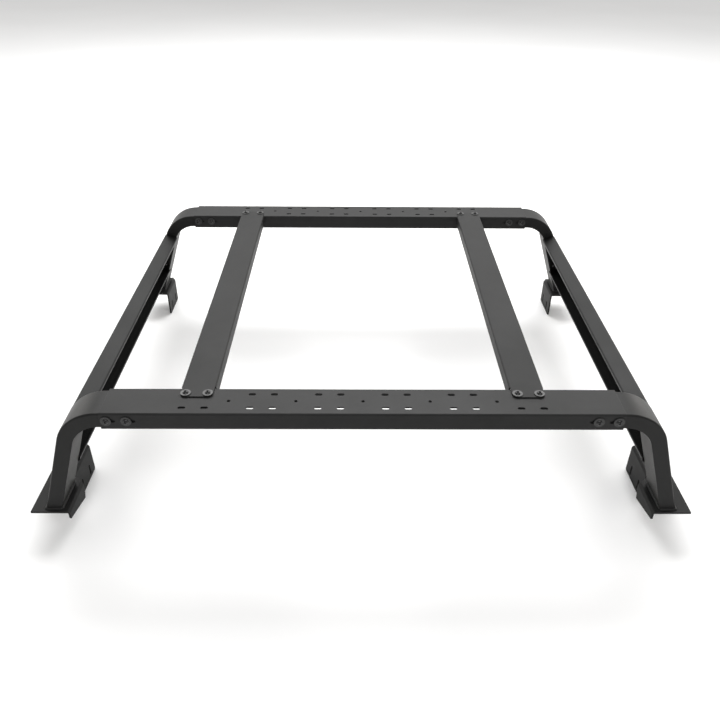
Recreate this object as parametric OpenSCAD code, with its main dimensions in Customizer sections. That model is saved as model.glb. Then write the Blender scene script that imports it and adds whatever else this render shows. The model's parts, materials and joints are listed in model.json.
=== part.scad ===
// Ladder rack for the bed of a pickup truck, folded and bolted from sheet steel.
// X runs across the truck, Y along it (front end at -Y) and Z up.
// The origin is the middle of the footprint, level with the bottom edges of the foot flanges.

/* [Layout] */
// Distance along Y between the middles of the two crossbeams
beam_span = 1125; // [900:1:1500]
// Height of the crossbeam tops above the bottom edges of the foot flanges
deck_z = 382.5; // [350:0.5:440]
// Play between the sliding uprights and the crossbeam sleeves, on each face
slide_gap = 0.3; // [0.2:0.05:0.5]
// Distance each side can slide inward from its widest setting
side_travel = 16; // [8:1:16]

/* [Sheet] */
// Thickness of the beams, bars, rails and uprights
sheet = 3; // [2.5:0.25:3.5]
// Outside radius of their bends
bend_r = 4.5; // [4:0.25:6]
// Thickness of the feet
foot_sheet = 5; // [4:0.5:6]
// Outside radius of the bends in the feet
foot_bend_r = 7.5; // [7:0.5:9]

/* [Crossbeams] */
// Length of a crossbeam
beam_len = 1172; // [1140:2:1176]
// Width of its top face
beam_depth = 97.5; // [92:0.5:110]
// Height of its front and rear faces
beam_high = 44.5; // [44:0.5:52]
// Width of the return lips along the bottom
beam_lip = 17; // [12:1:22]

/* [Slots and holes in the beam tops] */
// Spacing of the two slots of a pair, and of the two rows
slot_pitch = 50.8; // [45:0.1:55]
// Distance between neighbouring slot pairs, and between the round holes
pair_pitch = 152.4; // [140:0.1:160]
// End-to-end length of a slot
slot_len = 17; // [12:0.5:22]
// Width of a slot, and diameter of the round holes
slot_wide = 8.5; // [8.4:0.1:9]

/* [Load bars] */
// Distance of a bar's centre line from the middle of the rack, in slot pair pitches
bar_pair = 2.5; // [1.5, 2.5]
// Width of a bar
bar_wide = 80; // [76:1:84]
// Depth of its side flanges, measured over the plate
bar_high = 30; // [25:1:45]
// Width of the tongues at its ends
tongue_wide = 75; // [70:0.5:76]
// Corner radius of the tongues at its ends
tongue_r = 12.5; // [8:0.5:14]
// Radius of the relief notch where a flange stops
notch_r = 3; // [2:0.5:5]

/* [Uprights] */
// Thickness of the legs and arms, across the closing strip
leg_thick = 36.7; // [34:0.1:37]
// Outside radius of the elbow
elbow_r = 111.5; // [90:0.5:120]
// Distance of the elbow's centre from the middle of the rack
elbow_x = 592; // [592:1:605]
// Lean of the legs from the vertical
leg_tilt = 18.569; // [18.191, 18.36, 18.398, 18.569, 18.597, 18.925, 19.09]
// Distance of the inner ends of the arms from the middle of the rack
arm_end_x = 455; // [450:1:490]

/* [Side rails] */
// Width of a side rail, measured down the legs
rail_wide = 146; // [142:1:160]
// Depth of its flanges
rail_deep = 43; // [38:1:50]
// Height of the return lips on the flanges
rail_lip = 14; // [8:1:20]
// How far its web stands out beyond the legs
rail_proud = 2; // [0:0.5:3]
// Height of its top edge above the start of the straight leg
rail_rise = 8; // [0:1:16]

/* [Feet] */
// Height of the foot plates' top faces above the bottom edges of the flanges
foot_high = 86; // [70:1:100]
// Distance of the plates' outer edges from the middle of the rack
foot_out_x = 805; // [795:1:820]
// How far the plates reach past the legs at the ends of the rack
foot_margin = 10; // [6:1:20]
// Width of the slots in the flanges
foot_slot_wide = 9; // [8.5:0.5:11]
// Length of those slots
foot_slot_len = 32; // [20:1:40]
// Length of the front foot plates
front_foot_len = 250; // [236:1:280]
// Distance of the front feet's deep flanges from the middle of the rack
front_flange_x = 741; // [730:1:745]
// Length of the front feet's deep flanges
front_flange_len = 114; // [110:1:130]
// Distance of the front feet's short lips from the middle of the rack
front_lip_x = 710; // [695:1:716]
// Length of those lips
front_lip_len = 104; // [90:1:110]
// How far the rear ends of those lips slant back towards the plate
front_lip_slant = 10; // [0:1:20]
// Depth of those lips at their front end
front_lip_low = 22; // [20:1:35]
// Depth of those lips at their rear end
front_lip_high = 44; // [36:1:55]
// Length of the rear foot plates
rear_foot_len = 130; // [126:1:150]
// Length of the rear feet's flanges
rear_flange_len = 121; // [116:1:124]
// Distance of the rear feet's flanges from the middle of the rack
rear_flange_x = 713; // [700:1:722]

/* [Fasteners] */
// Distance of the corner bolts below the crossbeam tops
bolt_drop = 20; // [19:0.5:24]
// Thread diameter of all the bolts
bolt_d = 8; // [6:1:8]
// Diameter of their button heads
head_d = 14; // [12:0.5:16]
// Height of their button heads
head_high = 4.4; // [3.5:0.1:5]
// Width across flats of their hexagon sockets
socket_wide = 5; // [4:0.5:6]
// Diameter of the large washers
washer_d = 24; // [20:1:26]
// Thickness of the washers
washer_high = 2; // [1.5:0.25:2.5]
// Width across flats of the nuts
nut_wide = 13; // [12:0.5:14]
// Height of the nuts
nut_high = 6.5; // [5:0.5:7]
// Thickness of the nut plates under the ends of the load bars
nut_plate_high = 5; // [4:0.5:6]

/* [Hidden] */
$fn = 48;
eps = 1;
lots = 400;

hole_d = 8.5;
bar_x = bar_pair * pair_pitch;
bar_hole_y = beam_span / 2 - slot_pitch / 2;
bolt_z = deck_z - bolt_drop;
corner_bolt_x = [527, 572];

arm_deep = beam_depth - 2 * sheet - 2 * slide_gap;
elbow_z = deck_z - sheet - slide_gap - elbow_r;
leg_start_z = elbow_z + elbow_r * sin(leg_tilt);
leg_len = (leg_start_z - foot_high) / cos(leg_tilt);

rail_gap = 0.5;
rail_len = beam_span - arm_deep - 2 * rail_gap;
rail_r = elbow_r + rail_proud;
rail_mid_t = rail_wide / 2 - rail_rise;
rail_bolt_t = [rail_mid_t - 44, rail_mid_t + 44];
tab_wide = 120;
tab_deep = 26;
tab_cheek = 32;
tab_bolt_r = elbow_r - leg_thick / 2;
cheek_y = beam_span / 2 - arm_deep / 2;
web_bolt_y = cheek_y - tab_deep + 10;

front_foot_y = -beam_span / 2 - arm_deep / 2 - foot_margin;
rear_foot_y = beam_span / 2 + arm_deep / 2 + foot_margin - rear_foot_len;
foot_edge_r = 5;
foot_slot_z = 8 + foot_slot_len / 2;
front_slot_y = [26, 82];
rear_slot_y = [34, 90];
nut_plate_wide = 88;
nut_plate_deep = 76;

// ---- Flat shapes and cutters ----

module rounded_rect(wide, high, r) {
    square([wide - 2 * r, high], center = true);
    square([wide, high - 2 * r], center = true);
    for (x = [-1, 1], y = [-1, 1])
        translate([x * (wide / 2 - r), y * (high / 2 - r)]) circle(r);
}

// Folded channel, open downward, with the outside of its web on y = 0.
module channel_profile(wide, high, thick, r) {
    difference() {
        translate([0, -high]) rounded_rect(wide, 2 * high, r);
        translate([0, -high]) rounded_rect(wide - 2 * thick, 2 * high - 2 * thick, r - thick);
        translate([-wide / 2 - eps, -2 * high - eps]) square([wide + 2 * eps, high + eps]);
    }
}

// Folded channel with return lips, centred, open downward.
module lipped_profile(wide, high, lip) {
    difference() {
        rounded_rect(wide, high, bend_r);
        rounded_rect(wide - 2 * sheet, high - 2 * sheet, bend_r - sheet);
        translate([0, -high / 2]) square([wide - 2 * lip, 2 * sheet + eps], center = true);
    }
}

// Obround cutter, centred, long in X, with its axis along Z.
module obround(long, wide, high) {
    cube([long - wide, wide, high], center = true);
    for (x = [-1, 1])
        translate([x * (long - wide) / 2, 0, 0]) cylinder(d = wide, h = high, center = true);
}

// ---- Crossbeams ----

module crossbeam(y) {
    color("#3a3a3a") translate([0, y, 0]) difference() {
        translate([-beam_len / 2, 0, deck_z - beam_high / 2])
            rotate([90, 0, 90]) linear_extrude(beam_len)
                lipped_profile(beam_depth, beam_high, beam_lip);
        for (pair = [-2.5:1:2.5], side = [-0.5, 0.5], row = [-0.5, 0.5])
            translate([pair * pair_pitch + side * slot_pitch, row * slot_pitch, deck_z])
                obround(slot_len, slot_wide, 4 * sheet);
        for (hole = [-2:1:2])
            translate([hole * pair_pitch, 0, deck_z])
                cylinder(d = slot_wide, h = 4 * sheet, center = true);
        for (side = [-1, 1], x = corner_bolt_x)
            translate([side * (x - side_travel / 2), 0, bolt_z]) rotate([90, 0, 0])
                obround(side_travel + bolt_d + 1, bolt_d + 1, beam_depth + 2 * eps);
    }
}

// ---- Load bars ----

// Flat end of a bar, lying on a crossbeam, with its bolt holes' corners rounded.
module tongue() {
    root_y = beam_span / 2 - beam_depth / 2 - eps;
    straight = bar_hole_y - root_y;
    translate([-tongue_wide / 2, root_y, 0]) cube([tongue_wide, straight, sheet]);
    translate([-tongue_wide / 2 + tongue_r, root_y, 0])
        cube([tongue_wide - 2 * tongue_r, straight + tongue_r, sheet]);
    for (x = [-1, 1])
        translate([x * (tongue_wide / 2 - tongue_r), bar_hole_y, 0]) cylinder(r = tongue_r, h = sheet);
}

module load_bar(x) {
    flange_len = beam_span - beam_depth - 2 * eps;
    color("#4c4c4a") translate([x, 0, deck_z]) difference() {
        union() {
            translate([0, flange_len / 2, sheet]) rotate([90, 0, 0])
                linear_extrude(flange_len) channel_profile(bar_wide, bar_high, sheet, bend_r);
            tongue();
            mirror([0, 1, 0]) tongue();
        }
        for (side = [-1, 1], dir = [-1, 1]) {
            translate([side * slot_pitch / 2, dir * bar_hole_y, 0])
                cylinder(d = hole_d, h = 4 * sheet, center = true);
            translate([side * bar_wide / 2, dir * flange_len / 2, 0])
                cylinder(r = notch_r, h = 4 * bar_high, center = true);
        }
    }
}

module nut_plate(x, y) {
    row = y > 0 ? -0.5 : 0.5;
    color("#2c2c2c") translate([x, y, deck_z - sheet - nut_plate_high]) difference() {
        linear_extrude(nut_plate_high) rounded_rect(nut_plate_wide, nut_plate_deep, 6);
        for (side = [-0.5, 0.5])
            translate([side * slot_pitch, row * slot_pitch, 0])
                cylinder(d = hole_d, h = 4 * nut_plate_high, center = true);
    }
}

// ---- Fasteners, each with its axis along +Z and its seat on z = 0 ----

module button_bolt(long) {
    ball_r = (head_d * head_d / 4 + head_high * head_high) / (2 * head_high) + 0.6;
    difference() {
        union() {
            intersection() {
                cylinder(d = head_d, h = head_high);
                translate([0, 0, head_high - ball_r]) sphere(ball_r);
            }
            translate([0, 0, -long]) cylinder(d = bolt_d, h = long + eps);
        }
        translate([0, 0, head_high - 2.6])
            cylinder(d = socket_wide / cos(30), h = 3, $fn = 6);
    }
}

module washer() {
    difference() {
        cylinder(d = washer_d, h = washer_high);
        cylinder(d = bolt_d + 0.4, h = 3 * washer_high, center = true);
    }
}

module nut() {
    corner_d = nut_wide / cos(30);
    difference() {
        intersection() {
            cylinder(d = corner_d, h = nut_high, $fn = 6);
            cylinder(d1 = corner_d - 1.6, d2 = corner_d - 1.6 + 2 * nut_high, h = nut_high);
        }
        cylinder(d = bolt_d + 0.2, h = 3 * nut_high, center = true);
    }
}

module at_bar_bolts(x) {
    for (side = [-0.5, 0.5], dir = [-1, 1])
        translate([x + side * slot_pitch, dir * bar_hole_y, 0]) children();
}

module bar_bolts(x) {
    grip = washer_high + 2 * sheet + nut_plate_high + nut_high + 3;
    color("#1c1c1c") at_bar_bolts(x)
        translate([0, 0, deck_z + sheet + washer_high]) button_bolt(grip);
}

module bar_washers(x) {
    color("#262626") at_bar_bolts(x) translate([0, 0, deck_z + sheet]) washer();
}

module bar_nuts(x) {
    color("#8c8c88") at_bar_bolts(x)
        translate([0, 0, deck_z - sheet - nut_plate_high - nut_high]) nut();
}

// Places its children at the four bolts of a crossbeam end, with +Z pointing out of the beam's faces.
module at_corner_bolts(side, y) {
    for (x = corner_bolt_x, face = [-1, 1])
        translate([side * x, y, bolt_z]) rotate([-90 * face, 0, 0]) children();
}

module corner_bolts(side, y) {
    seat = beam_depth / 2 + slide_gap + washer_high;
    color("#1c1c1c") at_corner_bolts(side, y) translate([0, 0, seat])
        button_bolt(seat - arm_deep / 2 + sheet + nut_high + 3);
}

module corner_washers(side, y) {
    color("#262626") at_corner_bolts(side, y)
        translate([0, 0, beam_depth / 2 + slide_gap]) washer();
}

module corner_nuts(side, y) {
    color("#8c8c88") at_corner_bolts(side, y)
        translate([0, 0, arm_deep / 2 - sheet - nut_high]) nut();
}

// ---- Sides: built for the right-hand side (+X) and mirrored for the left ----

module on_side(side) {
    if (side > 0) children();
    else mirror([1, 0, 0]) children();
}

// Frame of a leg: X out through its outer face, Y down the leg from the end of the elbow, Z along +Y.
module down_the_leg() {
    translate([elbow_x, 0, elbow_z]) rotate([0, -leg_tilt, 0]) rotate([-90, 0, 0]) children();
}

// Sweeps a flat profile, given as radius and depth, along the arm, round the elbow and down the leg.
module sweep_upright(y, arm_len) {
    translate([elbow_x, y, elbow_z]) {
        if (arm_len > 0) rotate([0, -90, 0]) linear_extrude(arm_len) children();
        difference() {
            rotate([90, 0, 0]) rotate_extrude(angle = 90, $fn = 96) children();
            rotate([0, -leg_tilt, 0]) translate([0, -lots / 2, -lots]) cube(lots);
        }
        difference() {
            rotate([0, -leg_tilt, 0]) rotate([180, 0, 0])
                linear_extrude(leg_len + elbow_r) children();
            translate([-lots, -lots / 2, foot_high - elbow_z - lots]) cube([2 * lots, lots, lots]);
        }
    }
}

// Places its children at the bolts through the legs' cheeks, with +Z into the side rail.
module at_cheek_bolts() {
    down_the_leg() for (end = [-1, 1], t = rail_bolt_t)
        translate([tab_bolt_r, t, end * cheek_y])
            rotate([end > 0 ? 180 : 0, 0, 0]) children();
}

// Places its children at the bolts through the side rail's web, with +Z pointing outward.
module at_web_bolts() {
    down_the_leg() for (end = [-1, 1], t = rail_bolt_t)
        translate([rail_r, t, end * web_bolt_y]) rotate([0, 90, 0]) children();
}

module upright(side, y) {
    color("#353535") on_side(side) difference() {
        sweep_upright(y, elbow_x - arm_end_x)
            translate([elbow_r, 0]) rotate(-90) channel_profile(arm_deep, leg_thick, sheet, bend_r);
        for (x = corner_bolt_x)
            translate([x, y, bolt_z]) rotate([90, 0, 0])
                cylinder(d = hole_d, h = arm_deep + 2 * eps, center = true);
        at_cheek_bolts() cylinder(d = hole_d, h = 4 * sheet, center = true);
    }
}

module closing_strip(side, y) {
    color("#6e6c69") on_side(side) sweep_upright(y, 0)
        translate([elbow_r - leg_thick, -arm_deep / 2 + sheet])
            square([sheet, arm_deep - 2 * sheet]);
}

module side_rail(side) {
    color("#3d3d3c") on_side(side) difference() {
        down_the_leg() translate([rail_r - rail_deep / 2, rail_mid_t, -rail_len / 2])
            linear_extrude(rail_len) rotate(-90) lipped_profile(rail_wide, rail_deep, rail_lip);
        at_web_bolts() cylinder(d = hole_d, h = 4 * sheet, center = true);
    }
}

// Folded angle in each end of a side rail: one flange on the rail's web, one on the leg's cheek.
module rail_tab(side, end) {
    color("#2a2a2a") on_side(side) difference() {
        down_the_leg() mirror([0, 0, end > 0 ? 0 : 1])
            translate([rail_r - sheet, rail_mid_t + tab_wide / 2, cheek_y])
                rotate([90, 0, 0]) linear_extrude(tab_wide) {
                    translate([-tab_cheek, -sheet]) square([tab_cheek, sheet]);
                    translate([-sheet, -tab_deep]) square([sheet, tab_deep]);
                }
        at_cheek_bolts() cylinder(d = hole_d, h = 4 * sheet, center = true);
        at_web_bolts() cylinder(d = hole_d, h = 6 * sheet, center = true);
    }
}

module rail_bolts(side) {
    color("#1c1c1c") on_side(side) {
        at_cheek_bolts() translate([0, 0, sheet]) button_bolt(2 * sheet + nut_high + 2);
        at_web_bolts() button_bolt(2 * sheet + nut_high + 2);
    }
}

module rail_nuts(side) {
    color("#8c8c88") on_side(side) {
        at_cheek_bolts() translate([0, 0, -sheet - nut_high]) nut();
        at_web_bolts() translate([0, 0, -2 * sheet - nut_high]) nut();
    }
}

// ---- Feet ----

// Half of a folded channel: a flat that ends in a bend and a flange whose outer face is on x = 0.
module angle_profile(flat, deep) {
    intersection() {
        translate([flat, 0]) channel_profile(2 * flat, deep, foot_sheet, foot_bend_r);
        translate([0, -deep]) square([flat, deep]);
    }
}

// Outline of a flange seen square on: length in X, hanging from y = 0, with rounded lower corners.
module flange_outline(long, deep, r) {
    translate([0, r - deep]) square([long, deep - r]);
    translate([r, -deep]) square([long - 2 * r, deep]);
    for (x = [r, long - r]) translate([x, r - deep]) circle(r);
}

// Flange bent down from a foot plate at x, from y onward; its child is the outline seen from inside.
module foot_flange(x, y, long, deep) {
    flat = 25;
    intersection() {
        translate([x, y + long, foot_high])
            rotate([90, 0, 0]) linear_extrude(long) angle_profile(flat, deep);
        translate([x - eps, y, foot_high])
            rotate([90, 0, 90]) linear_extrude(flat + 2 * eps) children();
    }
}

module foot_plate(x, y, long) {
    translate([x, y, foot_high - foot_sheet]) {
        cube([foot_out_x - x, long - foot_edge_r, foot_sheet]);
        translate([0, foot_edge_r, 0]) cube([foot_out_x - x - foot_edge_r, long - foot_edge_r, foot_sheet]);
    }
}

module foot_slots(x, y, slot_y) {
    for (offset = slot_y)
        translate([x, y + offset, foot_slot_z]) rotate([0, 90, 0])
            obround(foot_slot_len, foot_slot_wide, 4 * foot_sheet);
}

module front_foot(side) {
    flange_y = front_foot_y + front_foot_len - front_flange_len;
    plate_x = front_flange_x + foot_bend_r;
    color("#3c3c3b") on_side(side) difference() {
        union() {
            foot_plate(plate_x, front_foot_y, front_foot_len);
            translate([0, 0, foot_high - foot_sheet]) linear_extrude(foot_sheet) polygon([
                [front_lip_x + foot_bend_r, front_foot_y],
                [plate_x + eps, front_foot_y],
                [plate_x + eps, flange_y],
                [plate_x, flange_y],
                [front_lip_x + foot_bend_r, front_foot_y + front_lip_len]
            ]);
            foot_flange(front_flange_x, flange_y, front_flange_len, foot_high)
                flange_outline(front_flange_len, foot_high, foot_edge_r);
            foot_flange(front_lip_x, front_foot_y, front_lip_len, front_lip_high) polygon([
                [0, 0],
                [front_lip_len, 0],
                [front_lip_len, -2 * foot_bend_r],
                [front_lip_len - front_lip_slant, -front_lip_high],
                [0, -front_lip_low]
            ]);
        }
        foot_slots(front_flange_x, flange_y, front_slot_y);
    }
}

module rear_foot(side) {
    color("#3c3c3b") on_side(side) difference() {
        union() {
            foot_plate(rear_flange_x + foot_bend_r, rear_foot_y, rear_foot_len);
            foot_flange(rear_flange_x, rear_foot_y, rear_flange_len, foot_high)
                flange_outline(rear_flange_len, foot_high, foot_edge_r);
        }
        foot_slots(rear_flange_x, rear_foot_y, rear_slot_y);
    }
}

// ---- Drawing ----

crossbeam(-beam_span / 2);  // front_crossbeam
crossbeam(beam_span / 2);  // rear_crossbeam
load_bar(-bar_x);  // left_load_bar
load_bar(bar_x);  // right_load_bar
nut_plate(-bar_x, -beam_span / 2);  // front_left_nut_plate
nut_plate(bar_x, -beam_span / 2);  // front_right_nut_plate
nut_plate(-bar_x, beam_span / 2);  // rear_left_nut_plate
nut_plate(bar_x, beam_span / 2);  // rear_right_nut_plate
bar_bolts(-bar_x);  // left_bar_bolts
bar_bolts(bar_x);  // right_bar_bolts
bar_washers(-bar_x);  // left_bar_washers
bar_washers(bar_x);  // right_bar_washers
bar_nuts(-bar_x);  // left_bar_nuts
bar_nuts(bar_x);  // right_bar_nuts
upright(-1, -beam_span / 2);  // front_left_upright
upright(-1, beam_span / 2);  // rear_left_upright
upright(1, -beam_span / 2);  // front_right_upright
upright(1, beam_span / 2);  // rear_right_upright
closing_strip(-1, -beam_span / 2);  // front_left_closing_strip
closing_strip(-1, beam_span / 2);  // rear_left_closing_strip
closing_strip(1, -beam_span / 2);  // front_right_closing_strip
closing_strip(1, beam_span / 2);  // rear_right_closing_strip
side_rail(-1);  // left_side_rail
side_rail(1);  // right_side_rail
rail_tab(-1, -1);  // front_left_rail_tab
rail_tab(-1, 1);  // rear_left_rail_tab
rail_tab(1, -1);  // front_right_rail_tab
rail_tab(1, 1);  // rear_right_rail_tab
rail_bolts(-1);  // left_rail_bolts
rail_bolts(1);  // right_rail_bolts
rail_nuts(-1);  // left_rail_nuts
rail_nuts(1);  // right_rail_nuts
front_foot(-1);  // front_left_foot
rear_foot(-1);  // rear_left_foot
front_foot(1);  // front_right_foot
rear_foot(1);  // rear_right_foot
corner_bolts(-1, -beam_span / 2);  // front_left_corner_bolts
corner_bolts(-1, beam_span / 2);  // rear_left_corner_bolts
corner_bolts(1, -beam_span / 2);  // front_right_corner_bolts
corner_bolts(1, beam_span / 2);  // rear_right_corner_bolts
corner_washers(-1, -beam_span / 2);  // front_left_corner_washers
corner_washers(-1, beam_span / 2);  // rear_left_corner_washers
corner_washers(1, -beam_span / 2);  // front_right_corner_washers
corner_washers(1, beam_span / 2);  // rear_right_corner_washers
corner_nuts(-1, -beam_span / 2);  // front_left_corner_nuts
corner_nuts(-1, beam_span / 2);  // rear_left_corner_nuts
corner_nuts(1, -beam_span / 2);  // front_right_corner_nuts
corner_nuts(1, beam_span / 2);  // rear_right_corner_nuts
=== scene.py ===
"""Looks of the ladder rack: powder coat, fasteners, weld beads, floor, light and camera."""
import json
import math

import bpy
from mathutils import Matrix, Vector


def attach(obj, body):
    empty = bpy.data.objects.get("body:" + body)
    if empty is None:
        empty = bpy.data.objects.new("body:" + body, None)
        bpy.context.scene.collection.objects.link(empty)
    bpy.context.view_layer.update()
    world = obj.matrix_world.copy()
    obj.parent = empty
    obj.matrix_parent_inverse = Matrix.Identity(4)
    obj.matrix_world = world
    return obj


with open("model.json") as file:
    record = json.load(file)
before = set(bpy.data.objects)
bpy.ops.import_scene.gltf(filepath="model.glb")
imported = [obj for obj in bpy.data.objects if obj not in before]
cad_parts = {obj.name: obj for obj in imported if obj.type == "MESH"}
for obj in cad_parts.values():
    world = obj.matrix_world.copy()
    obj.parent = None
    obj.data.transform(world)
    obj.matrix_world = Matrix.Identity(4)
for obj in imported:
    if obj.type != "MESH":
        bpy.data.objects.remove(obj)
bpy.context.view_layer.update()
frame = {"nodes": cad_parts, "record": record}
NODES = frame["nodes"]
MM = 0.001

# Sockets of a colour Mix node, which shares their names with its other data types.
MIX_FACTOR = 0
MIX_A = 6
MIX_B = 7
MIX_RESULT = 2


# ---- Node helpers ----

class Graph:
    """A material's node tree, with short calls for the nodes that the coatings share."""

    def __init__(self, name):
        self.mat = bpy.data.materials.new(name)
        self.mat.use_nodes = True
        self.tree = self.mat.node_tree
        self.tree.nodes.clear()
        self.coord = self.node("ShaderNodeTexCoord")

    def node(self, kind, **props):
        """Adds a node of that kind, with the given settings."""
        made = self.tree.nodes.new(kind)
        for key, value in props.items():
            setattr(made, key, value)
        return made

    def link(self, source, target):
        self.tree.links.new(source, target)

    def put(self, value, socket):
        """Links value if it is a socket, or else sets it as the socket's number or colour."""
        if isinstance(value, bpy.types.NodeSocket):
            self.link(value, socket)
        else:
            socket.default_value = value

    def noise(self, scale, detail=2.0, rough=0.5, shift=(0, 0, 0)):
        """Noise in the piece's own metres: a larger scale is a finer grain, and shift moves it about."""
        mapping = self.node("ShaderNodeMapping")
        mapping.inputs["Location"].default_value = shift
        self.link(self.coord.outputs["Object"], mapping.inputs["Vector"])
        noise = self.node("ShaderNodeTexNoise")
        self.link(mapping.outputs["Vector"], noise.inputs["Vector"])
        noise.inputs["Scale"].default_value = scale
        noise.inputs["Detail"].default_value = detail
        noise.inputs["Roughness"].default_value = rough
        return noise.outputs["Fac"]

    def math(self, op, a, b, clamp=False):
        """One sum of two sockets or numbers."""
        made = self.node("ShaderNodeMath", operation=op, use_clamp=clamp)
        self.put(a, made.inputs[0])
        self.put(b, made.inputs[1])
        return made.outputs[0]

    def span(self, value, low, high, to_low=0.0, to_high=1.0):
        """Stretches low..high to to_low..to_high, and holds the ends."""
        made = self.node("ShaderNodeMapRange")
        made.clamp = True
        self.put(value, made.inputs["Value"])
        made.inputs["From Min"].default_value = low
        made.inputs["From Max"].default_value = high
        made.inputs["To Min"].default_value = to_low
        made.inputs["To Max"].default_value = to_high
        return made.outputs["Result"]

    def mix(self, fac, a, b):
        """Colour a where fac is 0, colour b where it is 1."""
        made = self.node("ShaderNodeMix", data_type="RGBA")
        self.put(fac, made.inputs[MIX_FACTOR])
        self.put(a, made.inputs[MIX_A])
        self.put(b, made.inputs[MIX_B])
        return made.outputs[MIX_RESULT]

    def edge(self, radius):
        """How far the surface turns within radius: 0 on flats, more towards corners."""
        bevel = self.node("ShaderNodeBevel", samples=6)
        bevel.inputs["Radius"].default_value = radius
        geometry = self.node("ShaderNodeNewGeometry")
        dot = self.node("ShaderNodeVectorMath", operation="DOT_PRODUCT")
        self.link(bevel.outputs["Normal"], dot.inputs[0])
        self.link(geometry.outputs["Normal"], dot.inputs[1])
        return self.math("SUBTRACT", 1.0, dot.outputs["Value"], clamp=True)

    def bump(self, height, strength, distance, normal=None):
        """Bump from a height socket, on top of normal if it is given."""
        made = self.node("ShaderNodeBump")
        self.put(height, made.inputs["Height"])
        made.inputs["Strength"].default_value = strength
        made.inputs["Distance"].default_value = distance
        if normal is not None:
            self.link(normal, made.inputs["Normal"])
        return made.outputs["Normal"]

    def round_edges(self, radius):
        """The normal with sharp edges shaded as if rounded to radius."""
        bevel = self.node("ShaderNodeBevel", samples=4)
        bevel.inputs["Radius"].default_value = radius
        return bevel.outputs["Normal"]

    def finish(self, color, rough, normal, metallic=0.0, specular=0.5):
        """Ends the tree in a Principled shader and gives the material."""
        shader = self.node("ShaderNodeBsdfPrincipled")
        self.put(color, shader.inputs["Base Color"])
        self.put(rough, shader.inputs["Roughness"])
        self.link(normal, shader.inputs["Normal"])
        shader.inputs["Metallic"].default_value = metallic
        self.put(specular, shader.inputs["Specular IOR Level"])
        out = self.node("ShaderNodeOutputMaterial")
        self.link(shader.outputs["BSDF"], out.inputs["Surface"])
        return self.mat


def rgb(r, g, b):
    """An opaque colour."""
    return (r, g, b, 1.0)


COAT_SPECULAR = 0.16
WELD_SPECULAR = 0.2
RUBBED_COAT = rgb(0.085, 0.083, 0.08)
RUBBED_STEEL = rgb(0.14, 0.14, 0.135)
# Painted shade for hollows: the near black colour that ambient occlusion mixes in, and how far the occlusion
# looks.
PAINTED_HOLLOW_SHADE = rgb(0.004, 0.004, 0.004)
HOLLOW_REACH = 90 * MM


def powder_coat(name, low, high, rough, peel=0.5, shift=(0, 0, 0), paint_hollow_shade=False):
    """Satin powder coat: orange peel, a fine sparkle, uneven gloss, edges rubbed pale, and, where asked,
    painted shade that darkens the hollows.
    """
    g = Graph(name)
    cloud = g.noise(7.0, 3.0, 0.55, shift=shift)
    patch = g.noise(38.0, 2.0, 0.5, shift=shift)
    grain = g.noise(420.0, 2.0, 0.6, shift=shift)
    tone = g.math("ADD", g.math("MULTIPLY", cloud, 0.5), g.math("MULTIPLY", patch, 0.22))
    tone = g.math("ADD", tone, g.math("MULTIPLY", grain, 0.28))
    color = g.mix(g.span(tone, 0.32, 0.68), low, high)
    rub = g.math("MULTIPLY", g.span(g.edge(1.4 * MM), 0.03, 0.3), g.span(patch, 0.42, 0.62))
    color = g.mix(g.math("MULTIPLY", rub, 0.55), color, RUBBED_COAT)
    gloss = g.math("ADD", g.span(cloud, 0.3, 0.7, -0.04, 0.04), g.span(grain, 0.3, 0.7, -0.03, 0.03))
    gloss = g.math("ADD", gloss, rough)
    orange = g.noise(650.0, 2.0, 0.5, shift=shift)
    waves = g.noise(130.0, 1.0, 0.5, shift=shift)
    normal = g.bump(waves, 0.25 * peel, 0.25 * MM, g.round_edges(0.7 * MM))
    normal = g.bump(orange, 0.5 * peel, 0.12 * MM, normal)
    if not paint_hollow_shade:
        return g.finish(color, gloss, normal, specular=COAT_SPECULAR)
    # Painted shade: ambient occlusion mixes near black into the colour and lowers the specular level in
    # hollows and channels.
    shelter = g.node("ShaderNodeAmbientOcclusion", samples=6)
    shelter.inputs["Distance"].default_value = HOLLOW_REACH
    unshaded_share = g.span(shelter.outputs["AO"], 0.45, 0.85, 0.25, 1.0)
    color = g.mix(unshaded_share, PAINTED_HOLLOW_SHADE, color)
    return g.finish(color, gloss, normal, specular=g.math("MULTIPLY", unshaded_share, COAT_SPECULAR))


def black_steel(name, low, high, rough, metallic):
    """Blackened steel of bolts and washers: smudged, with a fine grain and rubbed corners."""
    g = Graph(name)
    smudge = g.noise(160.0, 3.0, 0.6)
    fine = g.noise(1400.0, 2.0, 0.5)
    color = g.mix(g.span(smudge, 0.35, 0.65), low, high)
    rub = g.span(g.edge(0.5 * MM), 0.03, 0.25)
    color = g.mix(g.math("MULTIPLY", rub, 0.4), color, RUBBED_STEEL)
    gloss = g.math("ADD", g.span(smudge, 0.3, 0.7, -0.06, 0.08), rough)
    normal = g.bump(fine, 0.3, 0.05 * MM, g.round_edges(0.35 * MM))
    return g.finish(color, gloss, normal, metallic=metallic)


def zinc(name):
    """Dull zinc plate with a mottled, slightly yellow passivation."""
    g = Graph(name)
    mottle = g.noise(260.0, 4.0, 0.65)
    drift = g.noise(45.0, 2.0, 0.5)
    color = g.mix(g.span(mottle, 0.35, 0.65), rgb(0.33, 0.33, 0.32), rgb(0.5, 0.5, 0.47))
    color = g.mix(g.span(drift, 0.45, 0.7, 0.0, 0.35), color, rgb(0.42, 0.4, 0.3))
    gloss = g.span(mottle, 0.3, 0.7, 0.3, 0.48)
    normal = g.bump(mottle, 0.25, 0.06 * MM, g.round_edges(0.4 * MM))
    return g.finish(color, gloss, normal, metallic=0.9)


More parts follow.
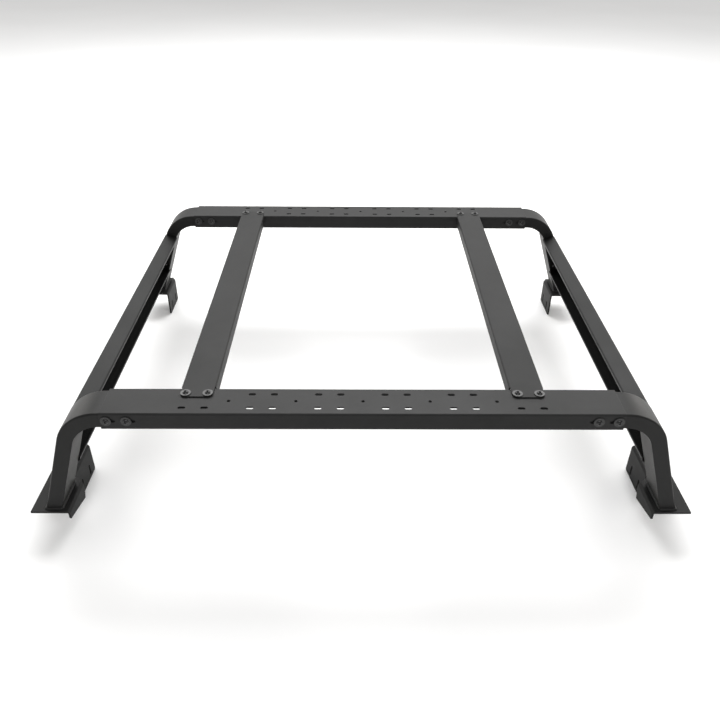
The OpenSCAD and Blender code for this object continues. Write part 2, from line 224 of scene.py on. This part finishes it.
def weld_metal(name):
    """Weld under powder coat: glossier, lumpy and mottled."""
    g = Graph(name)
    lump = g.noise(300.0, 3.0, 0.6)
    color = g.mix(g.span(lump, 0.35, 0.65), rgb(0.01, 0.01, 0.01), rgb(0.016, 0.016, 0.0157))
    gloss = g.span(lump, 0.3, 0.7, 0.38, 0.52)
    normal = g.bump(lump, 0.6, 0.3 * MM)
    return g.finish(color, gloss, normal, specular=WELD_SPECULAR)


# ---- Materials on the CAD nodes ----

COATS = {
    "beam_coating": powder_coat("beam_coating", rgb(0.012, 0.012, 0.0121), rgb(0.02, 0.02, 0.0198), 0.47),
    "bar_coating": powder_coat("bar_coating", rgb(0.0095, 0.0095, 0.0094), rgb(0.0145, 0.0145, 0.0142),
                               0.5, shift=(3, 1, 0)),
    "upright_coating": powder_coat("upright_coating", rgb(0.009, 0.009, 0.009), rgb(0.014, 0.014, 0.0137),
                                   0.45, shift=(0, 5, 2)),
    # The closing strips get a lighter copy of the black coat: painted light standing in for the floor
    # reflection they catch at a grazing angle.
    "strip_coating": powder_coat("strip_coating", rgb(0.021, 0.0208, 0.0198), rgb(0.03, 0.0297, 0.0284),
                                 0.47, shift=(1, 7, 4)),
    # The rail and bracket coats carry painted shade in their hollows and channels.
    "rail_coating": powder_coat("rail_coating", rgb(0.009, 0.009, 0.0089), rgb(0.014, 0.014, 0.0137),
                                0.5, shift=(6, 2, 1), paint_hollow_shade=True),
    "foot_coating": powder_coat("foot_coating", rgb(0.0075, 0.0075, 0.0074), rgb(0.012, 0.012, 0.0117),
                                0.54, peel=0.7, shift=(2, 8, 3)),
    "bracket_coating": powder_coat("bracket_coating", rgb(0.009, 0.009, 0.009), rgb(0.014, 0.014, 0.014),
                                   0.5, shift=(4, 4, 4), paint_hollow_shade=True),
    "black_bolts": black_steel("black_bolts", rgb(0.012, 0.012, 0.0125), rgb(0.022, 0.022, 0.022), 0.14, 0.3),
    "black_washers": black_steel("black_washers", rgb(0.022, 0.022, 0.022), rgb(0.036, 0.036, 0.0355),
                                 0.36, 0.35),
    "zinc_nuts": zinc("zinc_nuts"),
}
WELD = weld_metal("foot_welds")

for part in frame["record"]["subparts"]:
    mesh = NODES[part["node"]].data
    mesh.materials.clear()
    mesh.materials.append(COATS[part["material_slot"]])


# ---- Weld beads round the feet of the legs ----

# Lengths in mm and angles in degrees, as part.scad builds the legs.
LEG_INNER_X = 731.95
LEG_OUTER_X = 770.66
LEG_HALF_Y = 45.45
LEG_CORNER = 3.0
LEG_TILT = 18.569
PLATE_Z = 86.0
BEAM_Y = 562.5

LEG_MIDDLE_X = (LEG_INNER_X + LEG_OUTER_X) / 2
LEG_LEAN = math.tan(math.radians(LEG_TILT))

# The bead: its size, how far its root sinks into the leg and the plate, and the steps it is built in.
BEAD = 4.6
SINK_IN_LEG = 0.4
SINK_IN_PLATE = 0.2
STEP_ALONG = 1.2
CORNER_STEPS = 6
BEAD_ARCS = 8
BEAD_HOLLOW = 0.16

# Height, radians per mm and share of the seed of the fine ripples and of the slow swell.
RIPPLES = ((0.06, 2.1, 1), (0.05, 0.37, 2))


def leg_outline():
    """Points and outward normals round a leg's foot, as offsets from its middle, in mm."""
    half_x = (LEG_OUTER_X - LEG_INNER_X) / 2 - LEG_CORNER
    half_y = LEG_HALF_Y - LEG_CORNER
    found = []
    for k, (sx, sy) in enumerate(((1, 1), (-1, 1), (-1, -1), (1, -1))):
        for i in range(CORNER_STEPS + 1):
            turn = math.radians(90 * k + 90 / CORNER_STEPS * i)
            normal = (math.cos(turn), math.sin(turn))
            x = sx * half_x + LEG_CORNER * normal[0]
            y = sy * half_y + LEG_CORNER * normal[1]
            found.append((x, y, normal))
        side = 2 * (half_y if k % 2 else half_x)
        count = int(side / STEP_ALONG)
        for i in range(1, count):
            along = side * i / count
            found.append((x - normal[1] * along, y + normal[0] * along, normal))
    return found


def weld_bead(name, side, middle_y, body, seed):
    """Fillet bead with overlapping ripples, swept round the foot of one leg."""
    rows = []
    faces = []
    outline = leg_outline()
    run = 0.0
    for i, (x, y, normal) in enumerate(outline):
        before = outline[i - 1]
        run += math.hypot(x - before[0], y - before[1]) if i else 0.0
        ripple = 1 + sum(high * math.sin(run * rate + share * seed) for high, rate, share in RIPPLES)
        for j in range(BEAD_ARCS + 1):
            turn = math.radians(90 * j / BEAD_ARCS)
            size = BEAD * ripple * (1 - BEAD_HOLLOW * math.sin(2 * turn))
            out = size * math.sin(turn)
            up = size * math.cos(turn)
            px = LEG_MIDDLE_X + x + normal[0] * out - LEG_LEAN * up
            py = middle_y + y + normal[1] * out
            rows.append((side * px * MM, py * MM, (PLATE_Z + up) * MM))
        px = LEG_MIDDLE_X + x - normal[0] * SINK_IN_LEG
        py = middle_y + y - normal[1] * SINK_IN_LEG
        rows.append((side * px * MM, py * MM, (PLATE_Z - SINK_IN_PLATE) * MM))
    ring = BEAD_ARCS + 2
    for i in range(len(outline)):
        a = i * ring
        b = (i + 1) % len(outline) * ring
        for j in range(ring):
            k = (j + 1) % ring
            quad = (a + j, b + j, b + k, a + k)
            faces.append(quad if side > 0 else quad[::-1])
    mesh = bpy.data.meshes.new(name)
    mesh.from_pydata(rows, [], faces)
    mesh.update()
    for face in mesh.polygons:
        face.use_smooth = True
    mesh.materials.append(WELD)
    made = bpy.data.objects.new(name, mesh)
    bpy.context.scene.collection.objects.link(made)
    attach(made, body)


for end, middle_y in (("front", -BEAM_Y), ("rear", BEAM_Y)):
    for word, side in (("left", -1), ("right", 1)):
        weld_bead(end + "_" + word + "_foot_weld", side, middle_y, word + "_side", middle_y + side)


# ---- Floor, light and camera, in metres, watts and degrees ----

FLOOR_HALF = 30.0
FLOOR_DROP = 0.4 * MM
WHITE = (1, 1, 1)
WARM = (1.0, 0.97, 0.92)
SIDE_AIM = (0, 0.2, 0.3)
SKY_COLOR = (1.0, 0.995, 0.985, 1.0)
SKY_FROM = -0.25
SKY_TO = 0.55
SKY_NEAR = 0.36
SKY_FAR = 1.15
CAMERA_PLACE = (-0.01968, -1.85027, 1.35795)
YAW = math.radians(0.536)
PITCH = math.radians(33.82)
ROLL = math.radians(-0.468)
SENSOR_MM = 36.0
LENS_MM = 35.5425
CLIP_END = 200.0


def floor():
    """Matt white floor, a hair under the feet."""
    g = Graph("floor")
    cloud = g.noise(0.8, 3.0, 0.5)
    color = g.mix(g.span(cloud, 0.3, 0.7), rgb(0.9, 0.9, 0.9), rgb(0.93, 0.93, 0.93))
    normal = g.bump(g.noise(60.0), 0.02, 0.2 * MM)
    material = g.finish(color, g.span(cloud, 0.3, 0.7, 0.8, 0.9), normal, specular=0.1)
    mesh = bpy.data.meshes.new("floor")
    corners = [(sx * FLOOR_HALF, sy * FLOOR_HALF, 0) for sx, sy in ((-1, -1), (1, -1), (1, 1), (-1, 1))]
    mesh.from_pydata(corners, [], [(0, 1, 2, 3)])
    made = bpy.data.objects.new("floor", mesh)
    bpy.context.scene.collection.objects.link(made)
    made.location.z = -FLOOR_DROP
    mesh.materials.append(material)


def area_light(name, place, aim, wide, high, power, color=WHITE):
    """A rectangular light at place, facing aim."""
    data = bpy.data.lights.new(name, "AREA")
    data.shape = "RECTANGLE"
    data.size = wide
    data.size_y = high
    data.energy = power
    data.color = color
    made = bpy.data.objects.new(name, data)
    bpy.context.scene.collection.objects.link(made)
    made.location = place
    made.rotation_euler = (Vector(aim) - Vector(place)).to_track_quat("-Z", "Y").to_euler()


def sky():
    """White studio walls: bright behind the rack, dimmer on the camera's side."""
    world = bpy.data.worlds.new("studio")
    world.use_nodes = True
    tree = world.node_tree
    coord = tree.nodes.new("ShaderNodeTexCoord")
    split = tree.nodes.new("ShaderNodeSeparateXYZ")
    tree.links.new(coord.outputs["Generated"], split.inputs[0])
    walls = tree.nodes.new("ShaderNodeMapRange")
    walls.inputs["From Min"].default_value = SKY_FROM
    walls.inputs["From Max"].default_value = SKY_TO
    walls.inputs["To Min"].default_value = SKY_NEAR
    walls.inputs["To Max"].default_value = SKY_FAR
    tree.links.new(split.outputs["Y"], walls.inputs["Value"])
    background = tree.nodes["Background"]
    background.inputs["Color"].default_value = SKY_COLOR
    tree.links.new(walls.outputs["Result"], background.inputs["Strength"])
    return world


def studio():
    """A big panel behind the rack, one on each side and a soft fill in front."""
    scene = bpy.context.scene
    scene.view_settings.view_transform = "Standard"
    scene.world = sky()
    area_light("rear_panel", (0, 3.6, 4.6), (0, 0.0, 0.2), 6.0, 2.6, 335)
    area_light("left_panel", (-4.2, 2.6, 1.5), SIDE_AIM, 3.0, 2.0, 40, WARM)
    area_light("right_panel", (4.2, 2.6, 1.5), SIDE_AIM, 3.0, 2.0, 55, WARM)
    area_light("front_fill", (0.3, -3.4, 3.8), (0, -2.8, 0.0), 4.5, 2.0, 80)


def camera():
    """The photographed viewpoint: a little left of the middle, looking down over the front crossbeam."""
    forward = Vector((math.sin(YAW) * math.cos(PITCH), math.cos(YAW) * math.cos(PITCH), -math.sin(PITCH)))
    level = Vector((math.cos(YAW), -math.sin(YAW), 0))
    down = forward.cross(level)
    right = math.cos(ROLL) * level + math.sin(ROLL) * down
    under = -math.sin(ROLL) * level + math.cos(ROLL) * down
    data = bpy.data.cameras.new("camera")
    data.sensor_width = SENSOR_MM
    data.lens = LENS_MM
    data.clip_end = CLIP_END
    made = bpy.data.objects.new("camera", data)
    bpy.context.scene.collection.objects.link(made)
    turn = Matrix((right, -under, -forward)).transposed().to_4x4()
    made.matrix_world = Matrix.Translation(CAMERA_PLACE) @ turn
    bpy.context.scene.camera = made


floor()
studio()
camera()
